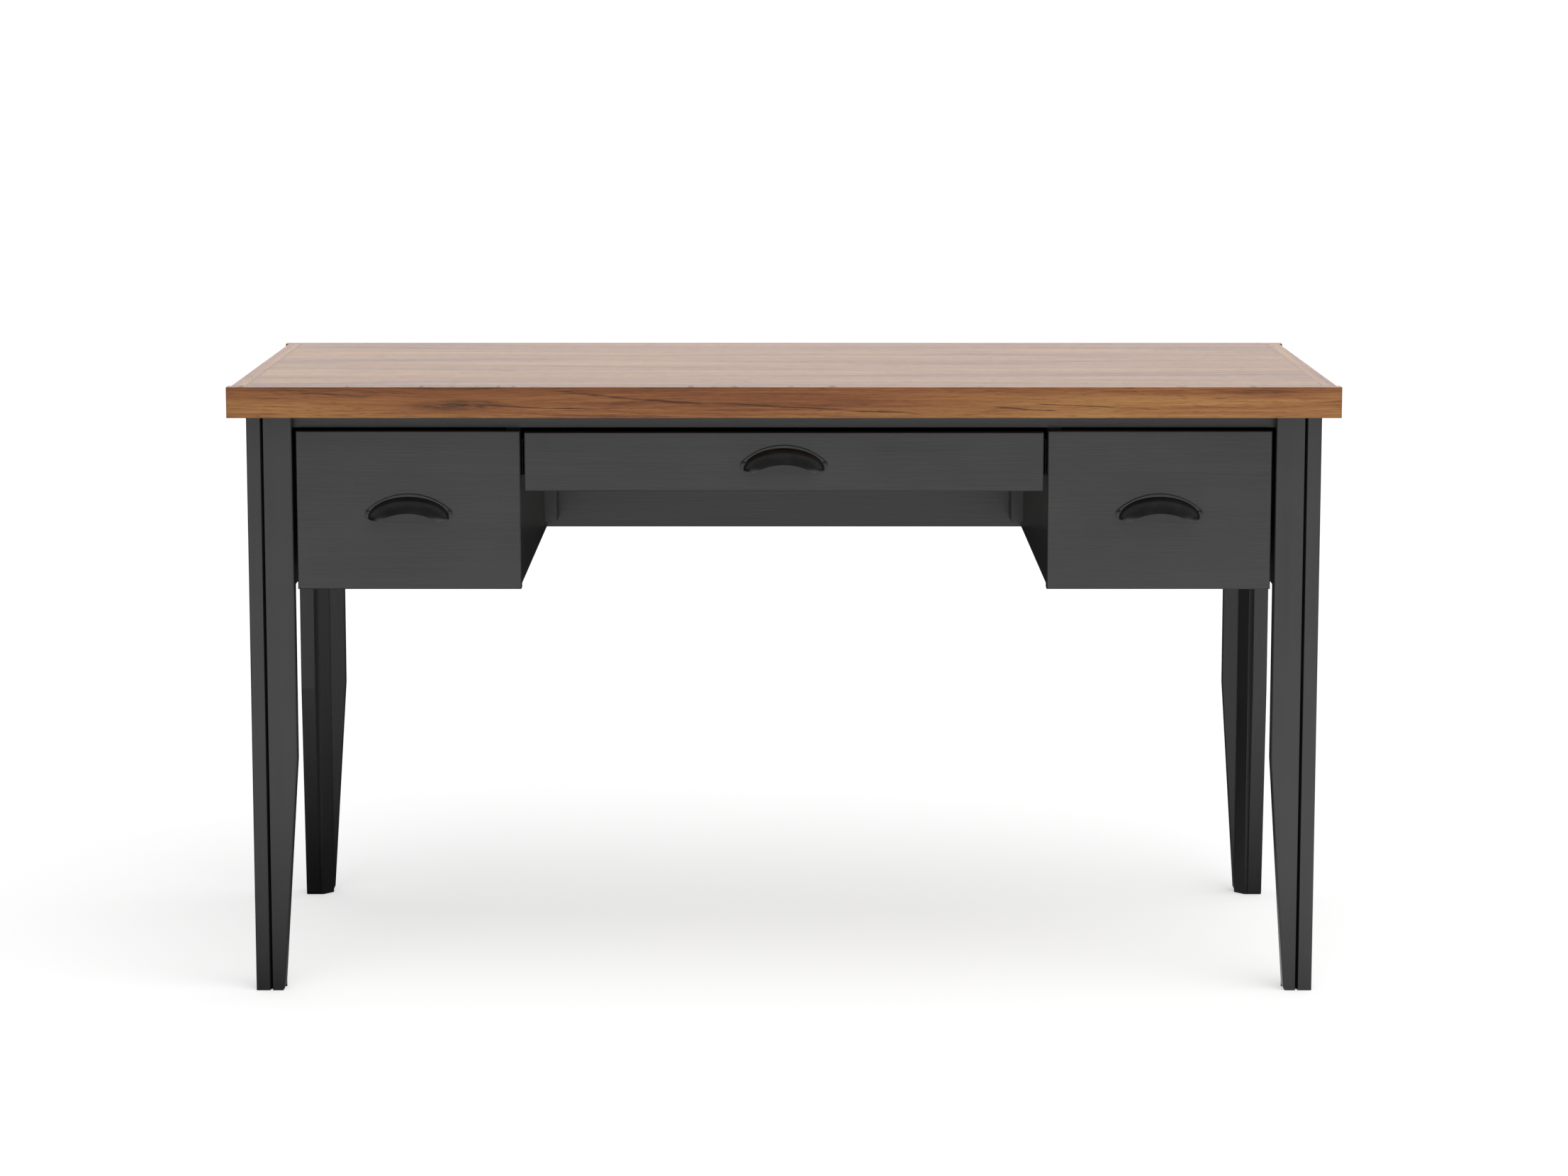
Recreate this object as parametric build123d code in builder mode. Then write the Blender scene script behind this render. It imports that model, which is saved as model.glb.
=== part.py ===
from build123d import *
import os

# A writing desk with three drawers: a plank top on four L-shaped legs, two deep side drawers and a shallow
# centre drawer over the kneehole. Millimetres. X runs along the desk, +X to the sitter's right, -Y is the
# sitter's side and +Z is up. The origin is on the floor under the middle of the top.

# ---------------------------------------------------------------- driving dimensions: the whole desk
DESK_WIDTH = 1372.0
DESK_DEPTH = 560.0
DESK_HEIGHT = 767.0
BOARD = 18.0
EASE = 1.0
TOUCH = 0.01

# ---------------------------------------------------------------- the top
TOP_THICK = 38.0
TOP_UNDERSIDE = DESK_HEIGHT - TOP_THICK
EDGE_BOARD = 18.0
END_INSET = 4.0
FRONT_ARRIS = 1.5
JOINT_LINE = 0.4

# ---------------------------------------------------------------- the legs
SIDE_OVERHANG = 21.0
FRONT_OVERHANG = 20.0
LEG_WIDTH = 56.0
LEG_FOOT_WIDTH = 36.0
LEG_BOARD = 19.0
TAPER_TOP = 296.0
LEG_V_HALF_WIDTH = 1.9
LEG_V_DEPTH = 8.0
FOOT_NICK_WIDTH = 2.0
FOOT_NICK_HEIGHT = 4.0
BLOCK_SHOULDER = 2.5
BLOCK_SLANT = 12.5
LEG_OUTER_X = DESK_WIDTH / 2 - SIDE_OVERHANG
LEG_OUTER_Y = DESK_DEPTH / 2 - FRONT_OVERHANG
LEG_INNER_X = LEG_OUTER_X - LEG_WIDTH
LEG_INNER_Y = LEG_OUTER_Y - LEG_WIDTH

# ---------------------------------------------------------------- the frame panels
RAIL_HEIGHT = 16.0
RAIL_SETBACK = 17.5
RAIL_FRONT = -LEG_OUTER_Y + RAIL_SETBACK
RAIL_BACK = RAIL_FRONT + BOARD
PANEL_BOTTOM = 516.0
PANEL_INSET = 2.0
BACK_PANEL_BACK = LEG_OUTER_Y - PANEL_INSET
BACK_PANEL_FRONT = BACK_PANEL_BACK - BOARD
KNEE_HALF_WIDTH = 327.0
INNER_PANEL_FRONT = -LEG_OUTER_Y + 22.0
SLIDE_PANEL_X = LEG_INNER_X
SLIDE_PANEL_END = LEG_OUTER_Y - LEG_BOARD
CLEAT_WIDTH = 16.5
CLEAT_DEPTH = 46.0
CLEAT_BOTTOM = 529.5

# ---------------------------------------------------------------- the drawers
DRAWER_GAP = 5.0
CENTRE_FRONT_HALF = 321.5
SIDE_FRONT_BOTTOM = 512.5
SIDE_FRONT_TOP = 710.3
CENTRE_FRONT_BOTTOM = 635.5
CENTRE_FRONT_TOP = 708.8
FRONT_BACK = -LEG_OUTER_Y + BOARD
BOX_SIDE = 12.0
BOX_END = 190.0
BOTTOM_THICK = 6.0
BOTTOM_RAISE = 10.0
GROOVE_DEPTH = 6.0
GROOVE_PLAY = 0.2
SIDE_BOX_BOTTOM = 532.0
SIDE_BOX_TOP = 692.0
CENTRE_BOX_BOTTOM = 645.0
CENTRE_BOX_TOP = 701.0

# ---------------------------------------------------------------- the telescopic slides, two to a drawer
SLIDE_THICK = 12.7
SLIDE_LENGTH = 400.0
SLIDE_FRONT = -222.0
SLIDE_SHEET = 1.2
MIDDLE_SHORTER = 10.0
SIDE_SLIDE_HEIGHT = 634.5
CENTRE_SLIDE_HEIGHT = 673.0

# ---------------------------------------------------------------- the cup pulls, in the frame of a drawer front
PULL_PLATE = 2.0
PULL_RIM = 0.6
PULL_TOP = 22.4
PULL_TIP_X = 54.2
PULL_BOTTOM = -13.3
PULL_BOTTOM_RISE = 5.0
PULL_TIP_RADIUS = 5.5
HOOD_CENTRE = -8.0
HOOD_HALF_WIDTH = 50.5
HOOD_PROJECTION = 19.5
HOOD_HEIGHT = 27.0
HOOD_WALL = 2.4
LIP_CENTRE = -0.2
LIP_END_X = 36.0
LIP_END = -10.5
PULL_DROP = 1.5

# ---------------------------------------------------------------- the screws of a pull
SCREW_X = 49.6
SCREW_Z = -0.5
SCREW_HEAD_RADIUS = 2.75
SCREW_HEAD_HEIGHT = 1.5
SCREW_HEAD_EDGE = 0.5
SCREW_SHANK_RADIUS = 1.5
SCREW_LENGTH = 14.0
SCREW_SLOT = 0.7
SCREW_PLAY = 0.05
SCREW_HEAD_PLAY = 0.3
SLOT_ANGLE = 40.0

SIDES = (("left", -1), ("right", 1))
ENDS = (("front", -1), ("back", 1))


def save(builder, name):
    """Label a finished piece and write it as its own STEP file."""
    builder.part.label = name
    export_step(builder.part, f"parts/{name}.step")


def span(side, inner, outer):
    """The low and high X of something between two distances from the desk's middle, on one side."""
    return min(side * inner, side * outer), max(side * inner, side * outer)


def slab(x_range, y_range, z_range, mode=Mode.ADD):
    """A rectangular block between three pairs of limits, added to or cut from the part being built."""
    with BuildSketch(Plane.XY.offset(z_range[0])) as outline:
        with Locations((sum(x_range) / 2, sum(y_range) / 2)):
            Rectangle(x_range[1] - x_range[0], y_range[1] - y_range[0])
    extrude(outline.sketch, amount=z_range[1] - z_range[0], mode=mode)


# ---------------------------------------------------------------- the top: a field with an edging all round
def desktop():
    field_x = DESK_WIDTH / 2 - END_INSET - EDGE_BOARD
    field_y = DESK_DEPTH / 2 - EDGE_BOARD
    heights = (TOP_UNDERSIDE, DESK_HEIGHT)

    with BuildPart() as field:
        slab((-field_x, field_x), (-field_y, field_y), heights)
        chamfer(field.faces().sort_by(Axis.Z)[-1].edges(), length=JOINT_LINE)
    save(field, "desktop_panel")

    for end_name, end in ENDS:
        with BuildPart() as edge:
            slab((-DESK_WIDTH / 2, DESK_WIDTH / 2), span(end, field_y, DESK_DEPTH / 2), heights)
            top_edges = edge.faces().sort_by(Axis.Z)[-1].edges().filter_by(Axis.X).sort_by(Axis.Y)
            outer_edge, inner_edge = top_edges if end < 0 else reversed(top_edges)
            fillet(outer_edge, radius=FRONT_ARRIS)
            chamfer(inner_edge, length=JOINT_LINE)
        save(edge, f"desktop_{end_name}_edge")

    for side_name, side in SIDES:
        with BuildPart() as strip:
            slab(span(side, field_x, field_x + EDGE_BOARD), (-field_y, field_y), heights)
            chamfer(strip.faces().sort_by(Axis.Z)[-1].edges(), length=JOINT_LINE)
        save(strip, f"desktop_{side_name}_edge")


# ---------------------------------------------------------------- the legs: two boards and a corner block each
def leg_board(name, face, into, start, joint):
    """One board of a leg's L. face is the plane of its outer face, with its origin at the leg's outer corner on
    the floor and its x axis running in towards the desk's middle. into is the signed thickness, start is how
    far in from the corner the board begins, and joint is a point on the edge where the two boards meet."""
    with BuildPart() as board:
        with BuildSketch(face):
            with BuildLine():
                Polyline(
                    (start, 0),
                    (LEG_FOOT_WIDTH - FOOT_NICK_WIDTH, 0),
                    (LEG_FOOT_WIDTH, FOOT_NICK_HEIGHT),
                    (LEG_WIDTH, TAPER_TOP),
                    (LEG_WIDTH, TOP_UNDERSIDE),
                    (start, TOP_UNDERSIDE),
                    close=True,
                )
            make_face()
        extrude(amount=into)
        joint_edge = board.edges().filter_by(Axis.Z).sort_by_distance(joint)[0]
        show_face = board.faces().filter_by(Axis.Y).sort_by_distance(joint)[0]
        chamfer(joint_edge, length=LEG_V_HALF_WIDTH, length2=LEG_V_DEPTH, reference=show_face)
        outer = board.faces().filter_by(lambda f: abs(face.to_local_coords(f.center()).Z) < TOUCH)[0]
        arrises = outer.edges().filter_by(lambda e: TOUCH < e.center().Z < TOP_UNDERSIDE - TOUCH)
        chamfer(arrises.filter_by(lambda e: e.distance_to(joint) > LEG_V_HALF_WIDTH + TOUCH), length=EASE)
    save(board, name)


def leg(side_name, side, end_name, end):
    """A leg: a face board to the front or back, a side board that laps its edge, and a block in the corner."""
    corner_x = side * LEG_OUTER_X
    corner_y = end * LEG_OUTER_Y
    prefix = f"{end_name}_{side_name}_leg"
    joint = Vector(corner_x - side * LEG_BOARD, corner_y, TOP_UNDERSIDE / 2)
    face_side = Plane((corner_x, corner_y, 0), x_dir=(-side, 0, 0), z_dir=(0, side, 0))
    long_side = Plane((corner_x, corner_y, 0), x_dir=(0, -end, 0), z_dir=(-end, 0, 0))
    leg_board(f"{prefix}_face_board", face_side, -side * end * LEG_BOARD, LEG_BOARD, joint)
    leg_board(f"{prefix}_side_board", long_side, side * end * LEG_BOARD, 0, joint)

    # The corner block is a square stick with its inner corner planed off at 45 degrees.
    block_end = LEG_FOOT_WIDTH
    slant_end = block_end - BLOCK_SLANT
    outline = (
        (LEG_BOARD, LEG_BOARD),
        (block_end, LEG_BOARD),
        (block_end, LEG_BOARD + BLOCK_SHOULDER),
        (slant_end, LEG_BOARD + BLOCK_SHOULDER + BLOCK_SLANT),
        (LEG_BOARD, LEG_BOARD + BLOCK_SHOULDER + BLOCK_SLANT),
    )
    with BuildPart() as block:
        with BuildSketch(Plane.XY):
            with BuildLine():
                Polyline(*[(corner_x - side * u, corner_y - end * v) for u, v in outline], close=True)
            make_face()
        extrude(amount=TOP_UNDERSIDE)
    save(block, f"{prefix}_corner_block")


# ---------------------------------------------------------------- the frame between the legs
def frame_panels():
    rail_heights = (TOP_UNDERSIDE - RAIL_HEIGHT, TOP_UNDERSIDE)
    with BuildPart() as rail:
        slab((-LEG_INNER_X, LEG_INNER_X), (RAIL_FRONT, RAIL_BACK), rail_heights)
    save(rail, "front_rail")

    with BuildPart() as back:
        slab((-LEG_INNER_X, LEG_INNER_X), (BACK_PANEL_FRONT, BACK_PANEL_BACK), (PANEL_BOTTOM, TOP_UNDERSIDE))
        chamfer(back.edges().filter_by(Axis.X).sort_by(Axis.Z)[:2], length=EASE / 2)
    save(back, "back_panel")

    for side_name, side in SIDES:
        outer_face = LEG_OUTER_X - PANEL_INSET
        with BuildPart() as side_panel:
            slab(
                span(side, outer_face - BOARD, outer_face),
                (-LEG_INNER_Y, LEG_INNER_Y),
                (PANEL_BOTTOM, TOP_UNDERSIDE),
            )
            chamfer(side_panel.edges().filter_by(Axis.Y).sort_by(Axis.Z)[:2], length=EASE / 2)
        save(side_panel, f"{side_name}_side_panel")

        # The slide panel stands between the face boards of two legs, flush with their inner edges, so that the
        # moving members of a slide pass clear of the front leg.
        with BuildPart() as slide_panel:
            slab(
                span(side, SLIDE_PANEL_X, SLIDE_PANEL_X + BOARD),
                (-SLIDE_PANEL_END, SLIDE_PANEL_END),
                (PANEL_BOTTOM, TOP_UNDERSIDE),
            )
        save(slide_panel, f"{side_name}_slide_panel")

        # The kneehole panel is housed around the back of the front rail.
        panel_x = span(side, KNEE_HALF_WIDTH, KNEE_HALF_WIDTH + BOARD)
        with BuildPart() as inner_panel:
            slab(panel_x, (INNER_PANEL_FRONT, BACK_PANEL_FRONT), (PANEL_BOTTOM, TOP_UNDERSIDE))
            slab(panel_x, (INNER_PANEL_FRONT, RAIL_BACK), rail_heights, mode=Mode.SUBTRACT)
            chamfer(inner_panel.edges().filter_by(Axis.Y).sort_by(Axis.Z)[:2], length=EASE / 2)
        save(inner_panel, f"{side_name}_kneehole_panel")

        with BuildPart() as cleat:
            slab(
                span(side, KNEE_HALF_WIDTH - CLEAT_WIDTH, KNEE_HALF_WIDTH),
                (BACK_PANEL_FRONT - CLEAT_DEPTH, BACK_PANEL_FRONT),
                (CLEAT_BOTTOM, TOP_UNDERSIDE),
            )
        save(cleat, f"{side_name}_kneehole_cleat")


# ---------------------------------------------------------------- the drawers
def drawer_box(name, box_x, box_z):
    """Two sides, a back and a bottom panel that sits in grooves in the sides and the front."""
    inside = (box_x[0] + BOX_SIDE, box_x[1] - BOX_SIDE)
    panel = (box_z[0] + BOTTOM_RAISE, box_z[0] + BOTTOM_RAISE + BOTTOM_THICK)
    groove = (panel[0] - GROOVE_PLAY, panel[1] + GROOVE_PLAY)
    grooved = (inside[0] - GROOVE_DEPTH, inside[1] + GROOVE_DEPTH)

    for side_name, x_range in (("left", (box_x[0], inside[0])), ("right", (inside[1], box_x[1]))):
        with BuildPart() as box_side:
            slab(x_range, (FRONT_BACK, BOX_END), box_z)
            chamfer(box_side.faces().sort_by(Axis.Z)[-1].edges().filter_by(Axis.Y), length=EASE)
            slab(grooved, (FRONT_BACK, BOX_END), groove, mode=Mode.SUBTRACT)
        save(box_side, f"{name}_{side_name}_side")

    with BuildPart() as box_back:
        slab(inside, (BOX_END - BOX_SIDE, BOX_END), (groove[1], box_z[1]))
    save(box_back, f"{name}_back")

    with BuildPart() as bottom:
        slab(
            (grooved[0] + GROOVE_PLAY, grooved[1] - GROOVE_PLAY),
            (FRONT_BACK - GROOVE_DEPTH + GROOVE_PLAY, BOX_END),
            panel,
        )
    save(bottom, f"{name}_bottom")


def drawer_front(name, front_x, front_z, box_x, box_z):
    """The front board: eased arrises, a groove for the bottom and two pilot holes for the pull's screws."""
    groove_low = box_z[0] + BOTTOM_RAISE - GROOVE_PLAY
    groove_high = groove_low + BOTTOM_THICK + 2 * GROOVE_PLAY
    grooved = (box_x[0] + BOX_SIDE - GROOVE_DEPTH, box_x[1] - BOX_SIDE + GROOVE_DEPTH)
    with BuildPart() as front:
        slab(front_x, (-LEG_OUTER_Y, FRONT_BACK), front_z)
        chamfer(front.faces().sort_by(Axis.Y)[0].edges(), length=EASE)
        slab(grooved, (FRONT_BACK - GROOVE_DEPTH, FRONT_BACK), (groove_low, groove_high), mode=Mode.SUBTRACT)
        with BuildSketch(pull_plane(front_x, front_z)):
            with Locations((-SCREW_X, SCREW_Z), (SCREW_X, SCREW_Z)):
                Circle(SCREW_SHANK_RADIUS + SCREW_PLAY)
        extrude(amount=-(SCREW_LENGTH - PULL_PLATE + SCREW_PLAY), mode=Mode.SUBTRACT)
    save(front, f"{name}_front")


def pull_plane(front_x, front_z):
    """Where a pull sits: x along the desk, y up and z out of the drawer front, a little below its middle."""
    origin = (sum(front_x) / 2, -LEG_OUTER_Y, sum(front_z) / 2 - PULL_DROP)
    return Plane(origin, x_dir=(1, 0, 0), z_dir=(0, -1, 0))


# ---------------------------------------------------------------- the slides
def channel(mount_x, towards, web, mouth, half_height, lip, height, length):
    """A sheet-steel channel along Y. web and mouth are how far its web's outer face and its open side stand
    from the mounting face; lip is how far its two edges turn in across the mouth."""
    wall = SLIDE_SHEET if mouth > web else -SLIDE_SHEET
    hollow = sorted((web + wall, mouth - wall if lip else mouth))
    plane = Plane((mount_x, SLIDE_FRONT, height), x_dir=(towards, 0, 0), z_dir=(0, -towards, 0))
    inner_half = half_height - SLIDE_SHEET
    with BuildSketch(plane) as section:
        with Locations(((web + mouth) / 2, 0)):
            Rectangle(abs(mouth - web), 2 * half_height)
        with Locations((sum(hollow) / 2, 0)):
            Rectangle(hollow[1] - hollow[0], 2 * inner_half, mode=Mode.SUBTRACT)
        with Locations(((web + wall + mouth) / 2, 0)):
            Rectangle(abs(mouth - web - wall), 2 * (inner_half - lip), mode=Mode.SUBTRACT)
    extrude(section.sketch, amount=-towards * length)


def slides(name, mount_faces, height):
    """The three members of a drawer's two telescopic slides, each pair in one node. The balls that run between
    the members of a real slide are left as clearance."""
    members = (
        # node, web, mouth, half height, lip, length
        ("cabinet_slide_members", 0.0, 9.5, 22.5, 2.3, SLIDE_LENGTH),
        ("middle_slide_members", 3.2, 10.8, 17.0, 2.5, SLIDE_LENGTH - MIDDLE_SHORTER),
        ("drawer_slide_members", SLIDE_THICK, 6.0, 12.0, 0.0, SLIDE_LENGTH),
    )
    for node, web, mouth, half_height, lip, length in members:
        with BuildPart() as member:
            for mount_x, towards in mount_faces:
                channel(mount_x, towards, web, mouth, half_height, lip, height, length)
        save(member, f"{name}_{node}")


# ---------------------------------------------------------------- the cup pulls
def pull_outline():
    """The lens-shaped outline of a pull's back plate, with blunt tips that carry the screws."""
    with BuildSketch() as outline:
        with BuildLine():
            top = ThreePointArc((-PULL_TIP_X, 0), (0, PULL_TOP), (PULL_TIP_X, 0))
            shoulder = PULL_BOTTOM + PULL_BOTTOM_RISE
            bottom = ThreePointArc((-PULL_TIP_X, shoulder), (0, PULL_BOTTOM), (PULL_TIP_X, shoulder))
            Line(top @ 0, bottom @ 0)
            Line(top @ 1, bottom @ 1)
        make_face()
        fillet(outline.vertices(), radius=PULL_TIP_RADIUS)
    return outline.sketch


def dome(inset):
    """A flattened ball about the origin, the form of the hood, smaller all round by inset."""
    half_width = HOOD_HALF_WIDTH - inset
    half_height = HOOD_HEIGHT - inset
    projection = HOOD_PROJECTION - inset
    with BuildPart() as ball:
        Sphere(1)
        scale(by=(half_width, half_height, projection))
    return ball.part


def cup_pull():
    """A pull lying on the XY plane: x along the screws, y up the drawer front and z out of it."""
    outline = pull_outline()
    outer = dome(0)
    inner = dome(HOOD_WALL)
    with BuildPart() as hood:
        with Locations((0, HOOD_CENTRE)):
            add(outer)
            add(inner, mode=Mode.SUBTRACT)
        extrude(outline, amount=HOOD_PROJECTION, mode=Mode.INTERSECT)
        with BuildSketch() as mouth:
            with BuildLine():
                lip = ThreePointArc((-LIP_END_X, LIP_END), (0, LIP_CENTRE), (LIP_END_X, LIP_END))
                Polyline(lip @ 0, (-LIP_END_X, 2 * PULL_BOTTOM), (LIP_END_X, 2 * PULL_BOTTOM), lip @ 1)
            make_face()
        extrude(mouth.sketch, amount=HOOD_PROJECTION, mode=Mode.SUBTRACT)
        with Locations((-SCREW_X, SCREW_Z), (SCREW_X, SCREW_Z)):
            Cylinder(SCREW_HEAD_RADIUS + SCREW_HEAD_PLAY, 2 * HOOD_PROJECTION, mode=Mode.SUBTRACT)
    with BuildPart() as pull:
        extrude(outline, amount=PULL_PLATE)
        fillet(pull.faces().sort_by(Axis.Z)[-1].edges(), radius=PULL_RIM)
        add(hood.part)
        with Locations((-SCREW_X, SCREW_Z), (SCREW_X, SCREW_Z)):
            Cylinder(SCREW_SHANK_RADIUS + SCREW_PLAY, 4 * PULL_PLATE, mode=Mode.SUBTRACT)
    return pull.part


def pull_screws():
    """The two slotted, round-headed screws of a pull, in the pull's own frame."""
    with BuildPart() as screws:
        for x in (-SCREW_X, SCREW_X):
            with BuildSketch(Plane.XZ.offset(-SCREW_Z)) as half_section:
                with BuildLine():
                    crown = ThreePointArc(
                        (x + SCREW_HEAD_RADIUS, PULL_PLATE + SCREW_HEAD_EDGE),
                        (x + SCREW_HEAD_RADIUS * 0.6, PULL_PLATE + SCREW_HEAD_HEIGHT * 0.85),
                        (x, PULL_PLATE + SCREW_HEAD_HEIGHT),
                    )
                    Polyline(
                        crown @ 1,
                        (x, PULL_PLATE - SCREW_LENGTH),
                        (x + SCREW_SHANK_RADIUS, PULL_PLATE - SCREW_LENGTH + 2 * SCREW_SHANK_RADIUS),
                        (x + SCREW_SHANK_RADIUS, PULL_PLATE),
                        (x + SCREW_HEAD_RADIUS, PULL_PLATE),
                        crown @ 0,
                    )
                make_face()
            revolve(half_section.sketch, axis=Axis((x, SCREW_Z, 0), (0, 0, 1)))
            with Locations((x, SCREW_Z, PULL_PLATE + SCREW_HEAD_HEIGHT)):
                Box(
                    2 * SCREW_HEAD_RADIUS + 1,
                    SCREW_SLOT,
                    SCREW_HEAD_HEIGHT,
                    rotation=(0, 0, SLOT_ANGLE if x < 0 else -SLOT_ANGLE),
                    mode=Mode.SUBTRACT,
                )
    return screws.part


# ---------------------------------------------------------------- a whole drawer with its slides and pull
def drawer(name, front_x, front_z, mount_faces, box_z, slide_height, pull, screws):
    """mount_faces holds, for each slide, the X of the face it is screwed to and the way to the drawer."""
    box_x = [mount_x + towards * SLIDE_THICK for mount_x, towards in mount_faces]
    drawer_front(name, front_x, front_z, box_x, box_z)
    drawer_box(name, box_x, box_z)
    slides(name, mount_faces, slide_height)
    for piece, node in ((pull, "cup_pull"), (screws, "pull_screws")):
        with BuildPart(pull_plane(front_x, front_z)) as placed:
            add(piece)
        save(placed, f"{name}_{node}")


def drawers():
    pull = cup_pull()
    screws = pull_screws()
    knee_outer = KNEE_HALF_WIDTH + BOARD
    for side_name, side in SIDES:
        faces = sorted([(side * knee_outer, side), (side * SLIDE_PANEL_X, -side)])
        drawer(
            f"{side_name}_drawer",
            span(side, CENTRE_FRONT_HALF + DRAWER_GAP, LEG_INNER_X - DRAWER_GAP),
            (SIDE_FRONT_BOTTOM, SIDE_FRONT_TOP),
            faces,
            (SIDE_BOX_BOTTOM, SIDE_BOX_TOP),
            SIDE_SLIDE_HEIGHT,
            pull,
            screws,
        )
    drawer(
        "centre_drawer",
        (-CENTRE_FRONT_HALF, CENTRE_FRONT_HALF),
        (CENTRE_FRONT_BOTTOM, CENTRE_FRONT_TOP),
        [(-KNEE_HALF_WIDTH, 1), (KNEE_HALF_WIDTH, -1)],
        (CENTRE_BOX_BOTTOM, CENTRE_BOX_TOP),
        CENTRE_SLIDE_HEIGHT,
        pull,
        screws,
    )


os.makedirs("parts", exist_ok=True)
desktop()
for side_label, side_sign in SIDES:
    for end_label, end_sign in ENDS:
        leg(side_label, side_sign, end_label, end_sign)
frame_panels()
drawers()
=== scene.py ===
import math

import bpy
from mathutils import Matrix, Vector

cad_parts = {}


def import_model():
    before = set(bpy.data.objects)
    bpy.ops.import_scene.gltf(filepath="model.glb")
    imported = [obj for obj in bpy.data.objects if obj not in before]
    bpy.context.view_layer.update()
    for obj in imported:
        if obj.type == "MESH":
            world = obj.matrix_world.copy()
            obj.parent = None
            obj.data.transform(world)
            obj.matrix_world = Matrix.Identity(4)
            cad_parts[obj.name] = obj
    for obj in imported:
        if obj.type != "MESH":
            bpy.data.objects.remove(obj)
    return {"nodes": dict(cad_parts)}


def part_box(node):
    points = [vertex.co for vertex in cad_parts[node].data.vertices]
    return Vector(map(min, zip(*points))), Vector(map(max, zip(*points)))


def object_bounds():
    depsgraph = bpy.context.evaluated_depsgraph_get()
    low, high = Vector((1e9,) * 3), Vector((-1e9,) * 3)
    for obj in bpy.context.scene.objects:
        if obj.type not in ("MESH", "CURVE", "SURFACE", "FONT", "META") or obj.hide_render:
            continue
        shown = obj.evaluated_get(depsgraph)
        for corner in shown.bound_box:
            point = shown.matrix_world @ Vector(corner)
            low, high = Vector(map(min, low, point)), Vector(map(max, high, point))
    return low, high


# The looks of the writing desk: materials on its CAD nodes, a pale floor, soft studio light and the camera.
# Metres, in the CAD's own frame: +X to the sitter's right, -Y towards the sitter, +Z up.

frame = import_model()
cad_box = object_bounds()

# ------------------------------------------------------------------ the camera
# It stands in front of the desk's middle, above the top, and looks a little down.
CAMERA_PLACE = (0.0, -4.700, 1.2588)
CAMERA_PITCH = math.radians(-7.29)
CAMERA_LENS = 83.1
CAMERA_SENSOR = 36.0
CAMERA_SHIFT = -0.09

# ------------------------------------------------------------------ the light
# The world is a tent: white ground in front, seen in the gloss of whatever faces the sitter, a white band of
# sky low behind, seen in the gloss of the top, and a dim front and sides. A broad sun from above lights the
# floor and the wood. HEIGHT, HORIZON and TURN are where a part of the tent fades out: the z, or the y, of a
# direction of length 1.
FRONT_GROUND = 1.42
FRONT_SKY = 0.16
FRONT_HORIZON = (-0.17, 0.03)
FRONT_TURN = (math.cos(math.radians(66.0)), math.cos(math.radians(40.0)))
SKY_BACK = 1.85
SKY_BACK_HEIGHT = (0.36, 0.56)
SKY_BACK_TURN = (0.1, 0.6)
SKY_SIDE = 0.30
GROUND = 0.02
HORIZON_BLEND = 0.05
SUN_FROM = Vector((0.34, -0.46, 0.82))
SUN_STRENGTH = 2.1
SUN_ANGLE = math.radians(80.0)
# The floor that the camera sees throws nothing back on the desk. What the desk sees in its place is a mat just
# under it, which glows in front and fades to dark behind, further back on the right than on the left. The fade
# is the desk's shadow on the floor, painted into the mat's glow.
FLOOR_HALF_SIZE = 200.0
FLOOR_DROP = 0.0002
FLOOR_COLOUR = (0.62, 0.62, 0.62, 1.0)
FLOOR_GLOW = 0.475
MAT_HALF_WIDTH = 3.0
MAT_FRONT = -4.0
MAT_BACK = 3.0
MAT_DROP = 0.001
MAT_SHADOW_FADE = (-1.35, 0.40)
MAT_SKEW = -0.35
MAT_COLOUR = (0.02, 0.02, 0.02, 1.0)

# ------------------------------------------------------------------ colours, linear
WHITE = (1.0, 1.0, 1.0, 1.0)
WALNUT_DARK = (0.054, 0.021, 0.010, 1.0)
WALNUT_RED = (0.222, 0.078, 0.027, 1.0)
WALNUT_MID = (0.290, 0.123, 0.040, 1.0)
WALNUT_GOLD = (0.400, 0.198, 0.066, 1.0)
WALNUT_BURNT = (0.045, 0.020, 0.011, 1.0)
CHARCOAL_DEEP = (0.0115, 0.0115, 0.0115, 1.0)
CHARCOAL_PALE = (0.0270, 0.0270, 0.0270, 1.0)
# the dark of the painted shade along the charcoal paint's arrises
CHARCOAL_ARRIS_SHADE = (0.0030, 0.0030, 0.0030, 1.0)
BOX_WOOD_DARK = (0.30, 0.185, 0.10, 1.0)
BOX_WOOD_PALE = (0.56, 0.40, 0.25, 1.0)
ZINC_DEEP = (0.016, 0.016, 0.017, 1.0)
ZINC_PALE = (0.055, 0.055, 0.058, 1.0)
IRON_DEEP = (0.0040, 0.0040, 0.0040, 1.0)
IRON_PALE = (0.0085, 0.0085, 0.0085, 1.0)
IRON_RUBBED = (0.020, 0.020, 0.020, 1.0)
OXIDE_DEEP = (0.035, 0.035, 0.035, 1.0)
OXIDE_PALE = (0.075, 0.075, 0.075, 1.0)

# ------------------------------------------------------------------ relief, and the reach of painted arris shade and of rubbed pull edges, in metres
WOOD_RELIEF = 0.00006
PAINT_RELIEF = 0.00009
METAL_RELIEF = 0.00001
WALNUT_SHADE_ARRIS = 0.0016
PAINT_SHADE_ARRIS = 0.0012
IRON_ARRIS = 0.0008

# ------------------------------------------------------------------ the figure of the front edge board
# On the board's show face, in metres: x along the desk and depth below the top.
TOP_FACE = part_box("desktop_front_edge")[1].z
KNOT_X = -0.400
KNOT_DEPTH = 0.0225
KNOT_HALF_LENGTH = 0.085
KNOT_HALF_HEIGHT = 0.0085
KNOT_PINCH = 0.55
DARK_BAND_FADE = (0.0145, 0.0025)
DARK_BAND_TONE = 0.13
FIGURE_SWAY = 0.008
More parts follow.
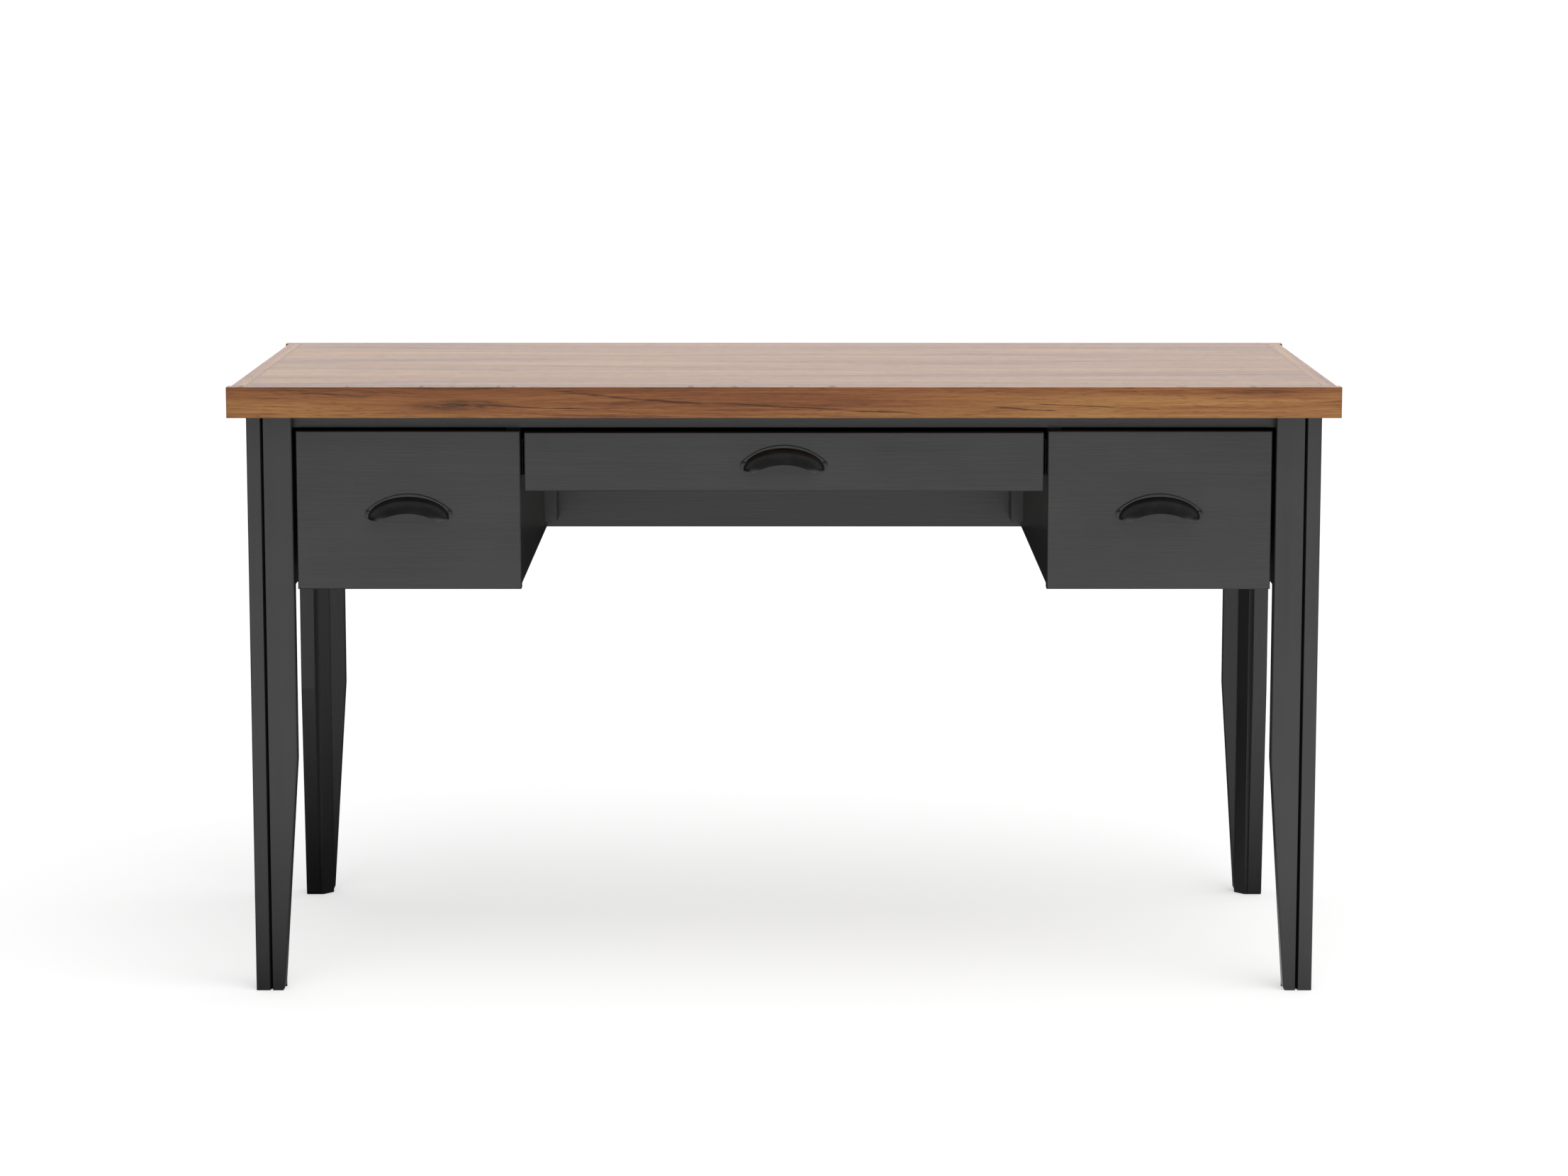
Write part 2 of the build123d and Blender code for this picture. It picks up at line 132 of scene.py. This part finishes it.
# Dark mineral streaks: start x, start depth, end x, end depth, half thickness.
MINERAL_STREAKS = (
    (-0.300, 0.0035, -0.090, 0.0215, 0.0011),
    (-0.199, 0.0150, 0.206, 0.0345, 0.0010),
    (-0.385, 0.0220, -0.220, 0.0280, 0.0009),
    (-0.605, 0.0080, -0.500, 0.0105, 0.0008),
    (-0.520, 0.0055, -0.470, 0.0070, 0.0006),
    (0.250, 0.0250, 0.345, 0.0305, 0.0010),
    (0.300, 0.0190, 0.420, 0.0270, 0.0006),
)


class Graph:
    """The node tree of a material or world. Each method adds a node and gives back the socket it puts out."""

    def __init__(self, owner):
        owner.use_nodes = True
        self.nodes = owner.node_tree.nodes
        self.links = owner.node_tree.links
        self.nodes.clear()

    def feed(self, socket, value):
        """Links a socket to another, or sets it to a plain value."""
        if isinstance(value, bpy.types.NodeSocket):
            self.links.new(value, socket)
        else:
            socket.default_value = value

    def maths(self, operation, a, b=0.0, c=0.0):
        node = self.nodes.new("ShaderNodeMath")
        node.operation = operation
        for socket, value in zip(node.inputs, (a, b, c)):
            self.feed(socket, value)
        return node.outputs[0]

    def vector(self, operation, a, b=(0.0, 0.0, 0.0)):
        node = self.nodes.new("ShaderNodeVectorMath")
        node.operation = operation
        self.feed(node.inputs[0], a)
        self.feed(node.inputs[1], b)
        return node.outputs["Value" if operation == "DOT_PRODUCT" else "Vector"]

    def join(self, x, y, z):
        node = self.nodes.new("ShaderNodeCombineXYZ")
        for socket, value in zip(node.inputs, (x, y, z)):
            self.feed(socket, value)
        return node.outputs[0]

    def split(self, vector):
        node = self.nodes.new("ShaderNodeSeparateXYZ")
        self.feed(node.inputs[0], vector)
        return node.outputs

    def noise(self, at, detail=3.0, rough=0.5):
        node = self.nodes.new("ShaderNodeTexNoise")
        self.feed(node.inputs["Vector"], at)
        self.feed(node.inputs["Scale"], 1.0)
        self.feed(node.inputs["Detail"], detail)
        self.feed(node.inputs["Roughness"], rough)
        return node.outputs[0]

    def level(self, value, low, high, to_low=0.0, to_high=1.0, smooth=False):
        """value from low..high to to_low..to_high, held at the ends."""
        node = self.nodes.new("ShaderNodeMapRange")
        node.interpolation_type = "SMOOTHSTEP" if smooth else "LINEAR"
        for socket, number in zip(node.inputs, (value, low, high, to_low, to_high)):
            self.feed(socket, number)
        return node.outputs[0]

    def ramp(self, value, *stops):
        """A colour ramp through (position, colour) stops."""
        node = self.nodes.new("ShaderNodeValToRGB")
        elements = node.color_ramp.elements
        while len(elements) < len(stops):
            elements.new(0.5)
        for element, (position, colour) in zip(elements, stops):
            element.position = position
            element.color = colour
        self.feed(node.inputs[0], value)
        return node.outputs["Color"]

    def mix(self, share, a, b):
        node = self.nodes.new("ShaderNodeMix")
        node.data_type = "RGBA"
        self.feed(node.inputs[0], share)
        self.feed(node.inputs[6], a)
        self.feed(node.inputs[7], b)
        return node.outputs[2]

    def bump(self, height, depth):
        """Relief from height, 0 to 1, that stands depth metres tall."""
        node = self.nodes.new("ShaderNodeBump")
        self.feed(node.inputs["Height"], height)
        self.feed(node.inputs["Strength"], 1.0)
        self.feed(node.inputs["Distance"], depth)
        return node.outputs[0]

    def edges(self, radius):
        """1 on flat ground, and less within radius of an edge."""
        bevel = self.nodes.new("ShaderNodeBevel")
        bevel.samples = 4
        self.feed(bevel.inputs["Radius"], radius)
        surface = self.nodes.new("ShaderNodeNewGeometry")
        return self.vector("DOT_PRODUCT", bevel.outputs[0], surface.outputs["Normal"])

    def grain_space(self, along, offset=(0.0, 0.0, 0.0)):
        """The piece's own coordinates, turned so that x runs along the grain, and moved by offset."""
        place = self.nodes.new("ShaderNodeTexCoord")
        turn = self.nodes.new("ShaderNodeMapping")
        turns = {"x": (0.0, 0.0, 0.0), "y": (0.0, 0.0, -math.pi / 2), "z": (0.0, math.pi / 2, 0.0)}
        self.feed(turn.inputs["Vector"], place.outputs["Object"])
        self.feed(turn.inputs["Rotation"], turns[along])
        self.feed(turn.inputs["Location"], offset)
        return turn.outputs[0]

    def stretch(self, at, along, across):
        """Coordinates scaled for a noise with so many features a metre along the grain and across it."""
        return self.vector("MULTIPLY", at, (along, across, across))


class Surface(Graph):
    """The node tree of a material with one Principled shader."""

    def __init__(self, name):
        self.material = bpy.data.materials.new(name)
        super().__init__(self.material)
        self.shader = self.nodes.new("ShaderNodeBsdfPrincipled")
        output = self.nodes.new("ShaderNodeOutputMaterial")
        self.links.new(self.shader.outputs["BSDF"], output.inputs["Surface"])

    def finish(self, colour, roughness, normal=None, **plain):
        """Feeds the shader. plain holds sockets that are the same all over the piece."""
        self.feed(self.shader.inputs["Base Color"], colour)
        self.feed(self.shader.inputs["Roughness"], roughness)
        if normal is not None:
            self.feed(self.shader.inputs["Normal"], normal)
        for name, value in plain.items():
            self.shader.inputs[name.replace("_", " ")].default_value = value
        return self.material


# ------------------------------------------------------------------ the wooden top
def walnut_figure(g, at):
    """The streaks of long-grained wood, as (0 dark to 1 pale, redness, pores, fibre)."""
    drift = g.noise(g.stretch(at, 0.8, 5.0), detail=2.0)
    sway = g.maths("MULTIPLY_ADD", drift, 0.030, -0.015)
    at = g.vector("ADD", at, g.join(0.0, sway, sway))
    broad = g.noise(g.stretch(at, 0.9, 17.0), detail=3.0, rough=0.55)
    contour = g.maths("MULTIPLY", g.noise(g.stretch(at, 0.7, 11.0), detail=1.5, rough=0.4), 11.0)
    lines = g.maths("POWER", g.maths("PINGPONG", contour, 1.0), 3.0)
    streak = g.noise(g.stretch(at, 3.0, 150.0), detail=4.0, rough=0.62)
    thread = g.noise(g.stretch(at, 9.0, 480.0), detail=3.0, rough=0.65)
    fibre = g.noise(g.stretch(at, 34.0, 1100.0), detail=3.0, rough=0.65)
    pores = g.level(g.noise(g.stretch(at, 55.0, 1100.0), detail=1.0), 0.60, 0.72)
    tone = g.maths("MULTIPLY_ADD", broad, 0.75, -0.02)
    tone = g.maths("MULTIPLY_ADD", streak, 0.55, tone)
    tone = g.maths("MULTIPLY_ADD", lines, -0.20, tone)
    tone = g.maths("MULTIPLY_ADD", thread, 0.60, tone)
    tone = g.maths("MULTIPLY_ADD", fibre, 0.50, g.maths("SUBTRACT", tone, 0.46))
    red = g.level(g.noise(g.stretch(at, 1.3, 24.0), detail=2.0), 0.40, 0.66)
    return tone, red, pores, fibre


def walnut_colour(g, tone, red, pores):
    body = g.ramp(tone, (0.30, WALNUT_DARK), (0.52, WALNUT_RED), (0.66, WALNUT_MID), (0.90, WALNUT_GOLD))
    body = g.mix(g.maths("MULTIPLY", red, 0.45), body, WALNUT_RED)
    return g.mix(g.maths("MULTIPLY", pores, 0.45), body, WALNUT_DARK)


def walnut_board(name, along, offset):
    """A plain board of the top."""
    g = Surface(name)
    tone, red, pores, fibre = walnut_figure(g, g.grain_space(along, offset))
    return walnut_surface(g, walnut_colour(g, tone, red, pores), pores, fibre)


def streak_mask(g, x, depth, streak):
    """1 on a thin streak between two points, fading to 0 at its sides and ends."""
    start_x, start_depth, end_x, end_depth, half_thick = streak
    slope = (end_depth - start_depth) / (end_x - start_x)
    line = g.maths("MULTIPLY_ADD", x, slope, start_depth - slope * start_x)
    off = g.maths("ABSOLUTE", g.maths("SUBTRACT", depth, line))
    side = g.level(off, half_thick * 0.4, half_thick * 1.6, 1.0, 0.0, smooth=True)
    middle = (start_x + end_x) / 2
    half_length = (end_x - start_x) / 2
    along = g.maths("ABSOLUTE", g.maths("SUBTRACT", x, middle))
    end = g.level(along, half_length * 0.6, half_length, 1.0, 0.0, smooth=True)
    return g.maths("MULTIPLY", side, end)


def walnut_front_board():
    """The board that faces the sitter: a dark band along its top, a smoky knot and thin mineral streaks."""
    g = Surface("walnut_front")
    at = g.grain_space("x")
    x, _, z = g.split(at)

    # The grain lines close in on the knot from both sides.
    from_knot = g.maths("DIVIDE", g.maths("SUBTRACT", x, KNOT_X), KNOT_HALF_LENGTH)
    nearness = g.maths("EXPONENT", g.maths("MULTIPLY", g.maths("POWER", from_knot, 2.0), -1.0))
    above_knot = g.maths("SUBTRACT", z, TOP_FACE - KNOT_DEPTH)
    squeeze = g.maths("MULTIPLY", nearness, KNOT_PINCH)
    moved_z = g.maths("MULTIPLY_ADD", above_knot, squeeze, z)
    tone, red, pores, fibre = walnut_figure(g, g.vector("ADD", g.join(x, 0.0, moved_z), (2.0, 3.0, 1.0)))

    wander = g.noise(g.stretch(at, 14.0, 60.0), detail=3.0)
    level_depth = g.maths("SUBTRACT", TOP_FACE + FIGURE_SWAY / 2, z)
    depth = g.maths("MULTIPLY_ADD", wander, -FIGURE_SWAY, level_depth)
    band = g.level(depth, *DARK_BAND_FADE, 0.0, DARK_BAND_TONE, smooth=True)
    tone = g.maths("SUBTRACT", tone, band)
    colour = walnut_colour(g, tone, red, pores)

    height = g.maths("DIVIDE", g.maths("SUBTRACT", depth, KNOT_DEPTH), KNOT_HALF_HEIGHT)
    reach = g.maths("ADD", g.maths("POWER", from_knot, 2.0), g.maths("POWER", height, 2.0))
    halo = g.level(reach, 0.0, 2.6, 0.75, 0.0, smooth=True)
    colour = g.mix(halo, colour, WALNUT_RED)
    burl = g.noise(g.stretch(at, 45.0, 420.0), detail=4.0, rough=0.65)
    heart = g.level(reach, 0.0, 0.9, 1.0, 0.0, smooth=True)
    heart = g.maths("MULTIPLY", heart, g.level(burl, 0.38, 0.62, 0.15, 0.90))
    colour = g.mix(heart, colour, WALNUT_BURNT)

    broken = g.level(g.noise(g.stretch(at, 30.0, 500.0), detail=3.0), 0.36, 0.56, 0.25, 0.85)
    for streak in MINERAL_STREAKS:
        mask = g.maths("MULTIPLY", streak_mask(g, x, depth, streak), broken)
        colour = g.mix(mask, colour, WALNUT_BURNT)
    return walnut_surface(g, colour, pores, fibre)


def walnut_surface(g, colour, pores, fibre):
    """Satin lacquer that sinks a little into the pores, with painted shade along the arrises."""
    # painted shade: the wood is darkened near its arrises, where shade and dark reflections fall
    painted_arris_shade = g.level(g.edges(WALNUT_SHADE_ARRIS), 0.90, 0.998, 0.75, 0.0)
    colour = g.mix(painted_arris_shade, colour, WALNUT_DARK)
    roughness = g.maths("MULTIPLY_ADD", fibre, 0.10, 0.33)
    roughness = g.maths("MULTIPLY_ADD", pores, 0.10, roughness)
    relief = g.bump(g.maths("SUBTRACT", fibre, pores), WOOD_RELIEF)
    return g.finish(colour, roughness, relief, IOR=1.5, Specular_IOR_Level=0.28)


# ------------------------------------------------------------------ painted wood
def charcoal_paint(name, along):
    """Satin paint over open grain that runs along one axis, with painted shade along the arrises."""
    g = Surface(name)
    at = g.grain_space(along)
    fibre = g.noise(g.stretch(at, 16.0, 520.0), detail=3.0, rough=0.6)
    streak = g.noise(g.stretch(at, 3.0, 90.0), detail=3.0, rough=0.55)
    cloud = g.noise(g.stretch(at, 7.0, 11.0), detail=4.0, rough=0.6)
    tone = g.maths("MULTIPLY_ADD", cloud, 0.9, -0.15)
    tone = g.maths("MULTIPLY_ADD", streak, 0.35, tone)
    tone = g.maths("MULTIPLY_ADD", fibre, 0.20, tone)
    colour = g.ramp(tone, (0.25, CHARCOAL_DEEP), (0.85, CHARCOAL_PALE))
    # painted shade: the paint is darkened near its arrises, where shade and dark reflections fall
    painted_arris_shade = g.level(g.edges(PAINT_SHADE_ARRIS), 0.90, 0.995, 0.85, 0.0)
    colour = g.mix(painted_arris_shade, colour, CHARCOAL_ARRIS_SHADE)
    roughness = g.maths("MULTIPLY_ADD", cloud, 0.10, 0.26)
    relief = g.bump(g.maths("MULTIPLY_ADD", streak, 0.5, fibre), PAINT_RELIEF)
    return g.finish(colour, roughness, relief, IOR=1.55)


# ------------------------------------------------------------------ the drawer boxes
def box_wood(name, along, fine):
    """Pale sealed wood. fine is how many streaks a metre run across the grain."""
    g = Surface(name)
    at = g.grain_space(along, (0.37, 0.11, 0.53))
    broad = g.noise(g.stretch(at, 1.4, fine / 8), detail=2.0)
    streak = g.noise(g.stretch(at, 5.0, fine), detail=4.0, rough=0.6)
    fibre = g.noise(g.stretch(at, 40.0, fine * 9), detail=2.0)
    tone = g.maths("MULTIPLY_ADD", streak, 0.45, g.maths("MULTIPLY", broad, 0.45))
    tone = g.maths("MULTIPLY_ADD", fibre, 0.15, tone)
    colour = g.ramp(tone, (0.32, BOX_WOOD_DARK), (0.70, BOX_WOOD_PALE))
    roughness = g.maths("MULTIPLY_ADD", fibre, 0.15, 0.48)
    relief = g.bump(g.maths("ADD", streak, fibre), WOOD_RELIEF)
    return g.finish(colour, roughness, relief, IOR=1.45)


# ------------------------------------------------------------------ metals
def slide_steel():
    """Dark zinc plate on rolled sheet: cloudy, with draw lines along the slide."""
    g = Surface("slide_zinc")
    at = g.grain_space("y")
    drawn = g.noise(g.stretch(at, 6.0, 1800.0), detail=3.0, rough=0.7)
    cloud = g.noise(g.stretch(at, 30.0, 60.0), detail=3.0)
    tone = g.maths("MULTIPLY_ADD", drawn, 0.3, g.maths("MULTIPLY", cloud, 0.7))
    colour = g.ramp(tone, (0.30, ZINC_DEEP), (0.70, ZINC_PALE))
    roughness = g.maths("MULTIPLY_ADD", drawn, 0.22, 0.30)
    relief = g.bump(drawn, METAL_RELIEF)
    return g.finish(colour, roughness, relief, Metallic=1.0)


def black_iron():
    """A pull's black coat over a cast surface, paler where fingers rub its edges."""
    g = Surface("pull_black")
    at = g.grain_space("x")
    cast = g.noise(g.stretch(at, 900.0, 900.0), detail=3.0, rough=0.6)
    cloud = g.noise(g.stretch(at, 60.0, 60.0), detail=3.0)
    colour = g.ramp(cloud, (0.30, IRON_DEEP), (0.70, IRON_PALE))
    rubbed = g.level(g.edges(IRON_ARRIS), 0.90, 0.99, 0.5, 0.0)
    colour = g.mix(rubbed, colour, IRON_RUBBED)
    roughness = g.maths("MULTIPLY_ADD", cloud, 0.14, 0.16)
    relief = g.bump(cast, METAL_RELIEF)
    return g.finish(colour, roughness, relief, IOR=1.55)


def screw_steel():
    """Dark oxide on the screws, cloudy and a little gritty."""
    g = Surface("screw_oxide")
    at = g.grain_space("x")
    grit = g.noise(g.stretch(at, 1500.0, 1500.0), detail=2.0)
    cloud = g.noise(g.stretch(at, 500.0, 500.0), detail=2.0)
    colour = g.ramp(cloud, (0.35, OXIDE_DEEP), (0.65, OXIDE_PALE))
    roughness = g.maths("MULTIPLY_ADD", grit, 0.2, 0.28)
    return g.finish(colour, roughness, g.bump(grit, METAL_RELIEF), Metallic=0.9)


# ------------------------------------------------------------------ which material goes where
def dress(node, material):
    """Gives a CAD node one material in place of every slot it came with."""
    obj = frame["nodes"][node]
    for index in range(len(obj.material_slots)):
        obj.material_slots[index].material = material


def dress_desk():
    charcoal = {axis: charcoal_paint(f"charcoal_grain_{axis}", axis) for axis in "xyz"}
    box_side_wood = box_wood("box_wood_grain_y", "y", 110.0)
    box_back_wood = box_wood("box_wood_grain_x", "x", 110.0)
    panel_wood = box_wood("box_bottom_veneer", "x", 60.0)
    end_wood = walnut_board("walnut_ends", "y", (0.3, 4.0, 2.0))
    steel = slide_steel()
    iron = black_iron()
    oxide = screw_steel()

    dress("desktop_panel", walnut_board("walnut_field", "x", (0.0, 1.0, 0.0)))
    dress("desktop_front_edge", walnut_front_board())
    dress("desktop_back_edge", walnut_board("walnut_back", "x", (5.0, 7.0, 4.0)))
    for side in ("left", "right"):
        dress(f"desktop_{side}_edge", end_wood)
        dress(f"{side}_side_panel", charcoal["y"])
        dress(f"{side}_slide_panel", charcoal["y"])
        dress(f"{side}_kneehole_panel", charcoal["y"])
        dress(f"{side}_kneehole_cleat", charcoal["z"])
        for end in ("front", "back"):
            for board in ("face_board", "side_board", "corner_block"):
                dress(f"{end}_{side}_leg_{board}", charcoal["z"])
    dress("front_rail", charcoal["x"])
    dress("back_panel", charcoal["x"])
    for place in ("left", "centre", "right"):
        drawer = f"{place}_drawer"
        dress(f"{drawer}_front", charcoal["x"])
        dress(f"{drawer}_left_side", box_side_wood)
        dress(f"{drawer}_right_side", box_side_wood)
        dress(f"{drawer}_back", box_back_wood)
        dress(f"{drawer}_bottom", panel_wood)
        dress(f"{drawer}_cup_pull", iron)
        dress(f"{drawer}_pull_screws", oxide)
        for member in ("cabinet", "middle", "drawer"):
            dress(f"{drawer}_{member}_slide_members", steel)


# ------------------------------------------------------------------ the studio
def flat_plane(name, half_width, front, back, drop):
    """A level stage plane, drop below the desk's feet."""
    corners = ((-half_width, front), (half_width, front), (half_width, back), (-half_width, back))
    mesh = bpy.data.meshes.new(name)
    mesh.from_pydata([(x, y, 0.0) for x, y in corners], [], [(0, 1, 2, 3)])
    obj = bpy.data.objects.new(name, mesh)
    obj.location.z = cad_box[0].z - drop
    bpy.context.scene.collection.objects.link(obj)
    return obj


def floor():
    """The plain pale floor, which takes the desk's shadow."""
    obj = flat_plane("floor", FLOOR_HALF_SIZE, -FLOOR_HALF_SIZE, FLOOR_HALF_SIZE, FLOOR_DROP)
    pale = Surface("floor_pale")
    pale.finish(FLOOR_COLOUR, 1.0, Specular_IOR_Level=0.0, Emission_Color=WHITE, Emission_Strength=FLOOR_GLOW)
    obj.data.materials.append(pale.material)
    obj.visible_diffuse = False
    obj.visible_glossy = False
    obj.visible_shadow = False


def mat():
    """The glowing mat that stands in for the floor in the desk's gloss, with the desk's shadow painted into
    its glow.
    """
    obj = flat_plane("mat", MAT_HALF_WIDTH, MAT_FRONT, MAT_BACK, MAT_DROP)
    obj.visible_camera = False
    g = Surface("mat_glow")
    place = g.nodes.new("ShaderNodeTexCoord")
    x, y, _ = g.split(place.outputs["Object"])
    skewed = g.maths("MULTIPLY_ADD", x, MAT_SKEW, y)
    # painted shadow: the glow fades out where the desk's shadow would fall on the floor
    glow = g.level(skewed, *MAT_SHADOW_FADE, FRONT_GROUND, 0.0, smooth=True)
    g.feed(g.shader.inputs["Emission Strength"], glow)
    obj.data.materials.append(g.finish(MAT_COLOUR, 1.0, Specular_IOR_Level=0.0, Emission_Color=WHITE))


def world():
    """The tent, and plain white where the camera sees past the floor."""
    made = bpy.data.worlds.new("studio")
    bpy.context.scene.world = made
    g = Graph(made)
    direction = g.nodes.new("ShaderNodeTexCoord")
    _, y, z = g.split(direction.outputs["Generated"])
    above = g.level(z, -HORIZON_BLEND, HORIZON_BLEND, smooth=True)
    low = g.level(z, *SKY_BACK_HEIGHT, SKY_BACK, SKY_SIDE, smooth=True)
    sky = g.level(y, *SKY_BACK_TURN, SKY_SIDE, low, smooth=True)
    tent = g.maths("MULTIPLY_ADD", sky, above, GROUND)
    towards_front = g.maths("MULTIPLY", y, -1.0)
    front = g.level(z, *FRONT_HORIZON, FRONT_GROUND, FRONT_SKY, smooth=True)
    tent = g.level(towards_front, *FRONT_TURN, tent, front, smooth=True)
    rays = g.nodes.new("ShaderNodeLightPath")
    seen = g.level(rays.outputs["Is Camera Ray"], 0.0, 1.0, tent, 1.0)
    background = g.nodes.new("ShaderNodeBackground")
    output = g.nodes.new("ShaderNodeOutputWorld")
    g.feed(background.inputs["Color"], WHITE)
    g.feed(background.inputs["Strength"], seen)
    g.links.new(background.outputs[0], output.inputs["Surface"])


def sun():
    """A broad, soft sun that no gloss reflects."""
    data = bpy.data.lights.new("sun", "SUN")
    data.energy = SUN_STRENGTH
    data.angle = SUN_ANGLE
    obj = bpy.data.objects.new("sun", data)
    obj.rotation_euler = SUN_FROM.to_track_quat("Z", "Y").to_euler()
    obj.visible_glossy = False
    bpy.context.scene.collection.objects.link(obj)


def camera():
    data = bpy.data.cameras.new("camera")
    data.lens = CAMERA_LENS
    data.sensor_width = CAMERA_SENSOR
    data.shift_y = CAMERA_SHIFT
    obj = bpy.data.objects.new("camera", data)
    obj.location = CAMERA_PLACE
    obj.rotation_euler = (math.pi / 2 + CAMERA_PITCH, 0.0, 0.0)
    bpy.context.scene.collection.objects.link(obj)
    bpy.context.scene.camera = obj


bpy.context.scene.view_settings.view_transform = "Standard"
dress_desk()
floor()
mat()
world()
sun()
camera()
